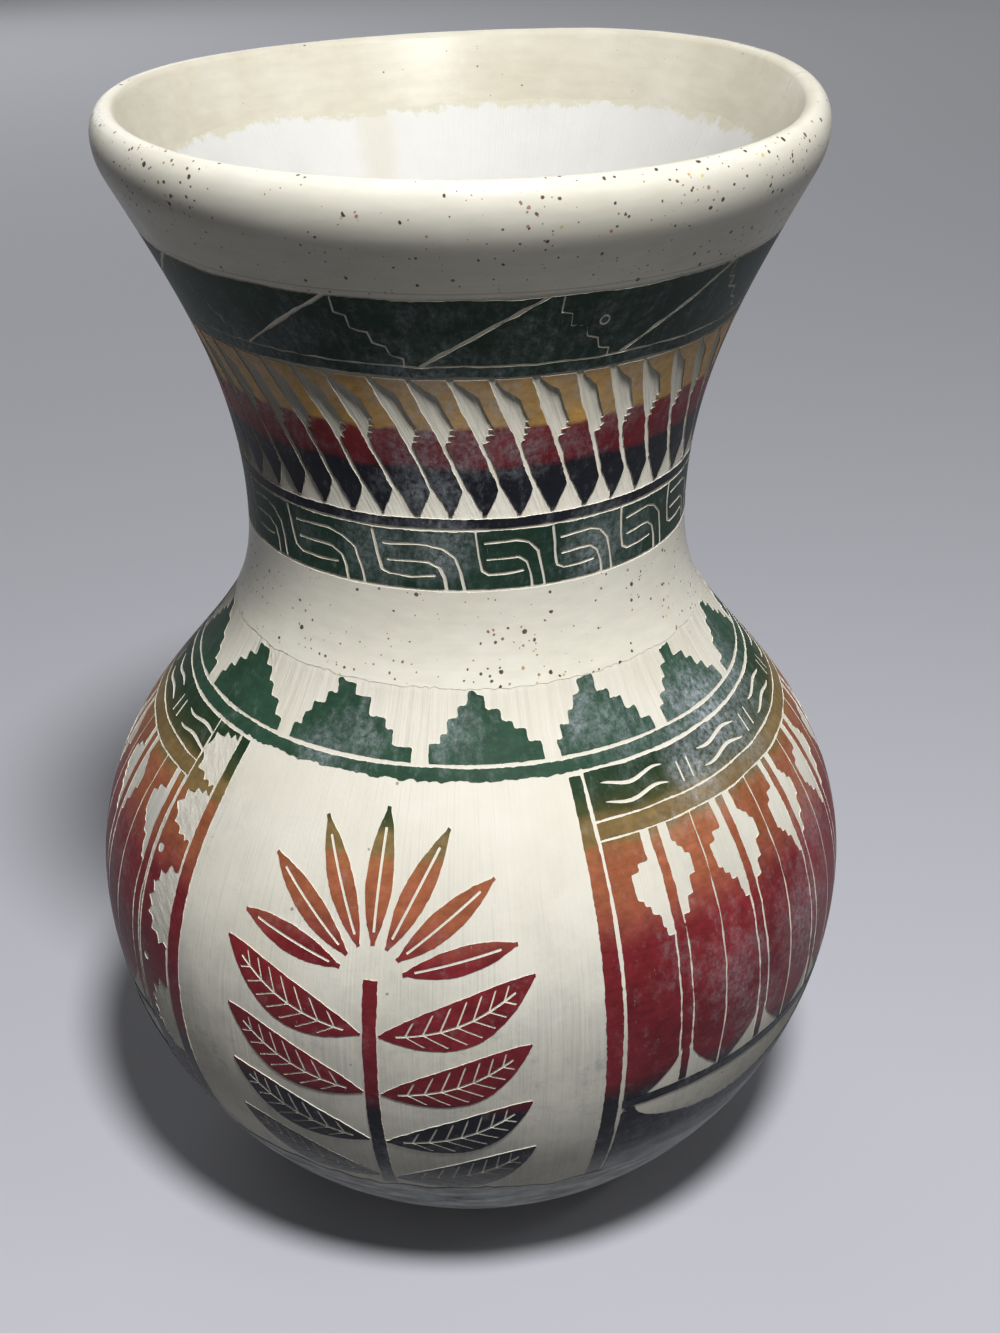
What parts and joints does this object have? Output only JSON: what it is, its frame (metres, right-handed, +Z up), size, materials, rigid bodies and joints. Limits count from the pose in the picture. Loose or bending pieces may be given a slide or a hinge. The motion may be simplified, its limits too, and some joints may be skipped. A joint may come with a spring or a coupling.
{
  "type": "vase",
  "caption": "Round-bellied clay vase with a narrow waist, a flared glazed mouth and bands of etched coloured slip; it stands on a flat base and holds flowers.",
  "frame": {"origin": "middle of the flat base, on the surface that the vase stands on", "axes": "+Z up along the turning axis; the front panel faces -Y and +X is to the viewer's right"},
  "size_m": [0.1268, 0.1269, 0.1839],
  "materials": {
    "clay": "matt scratched bisque",
    "glaze": "satin cream glaze with dark specks",
    "green_slip": "satin dark green slip with a chalky haze",
    "ochre_slip": "satin ochre slip",
    "red_slip": "satin dark red slip",
    "navy_slip": "satin blue-black slip"
  },
  "bodies": {
    "root": {"base_slip": "navy_slip", "clay_body": "clay", "collar_glaze": "glaze", "feather_navy": "navy_slip", "feather_ochre": "ochre_slip", "feather_red": "red_slip", "frieze_green": "green_slip", "frieze_ochre": "ochre_slip", "frieze_red": "red_slip", "key_slip": "green_slip", "lip_glaze": "glaze", "navy_stripe": "navy_slip", "neck_slip": "green_slip", "panel_strip_left": "red_slip", "panel_strip_right": "red_slip", "shoulder_stripe": "green_slip", "sprig_leaf_left_1": "red_slip", "sprig_leaf_left_2": "red_slip", "sprig_leaf_left_3": "red_slip", "sprig_leaf_left_4": "red_slip", "sprig_leaf_right_1": "red_slip", "sprig_leaf_right_2": "red_slip", "sprig_leaf_right_3": "red_slip", "sprig_leaf_right_4": "red_slip", "sprig_ray_1": "green_slip", "sprig_ray_2": "green_slip", "sprig_ray_3": "green_slip", "sprig_ray_4": "green_slip", "sprig_ray_5": "green_slip", "sprig_ray_6": "green_slip", "sprig_ray_7": "green_slip", "sprig_stem": "red_slip", "terrace_01": "green_slip", "terrace_02": "green_slip", "terrace_03": "green_slip", "terrace_04": "green_slip", "terrace_05": "green_slip", "terrace_06": "green_slip", "terrace_07": "green_slip", "terrace_08": "green_slip", "terrace_09": "green_slip", "terrace_10": "green_slip", "terrace_11": "green_slip", "terrace_12": "green_slip", "terrace_13": "green_slip", "terrace_14": "green_slip", "zigzag_slip": "red_slip"}
  },
  "joints": []
}
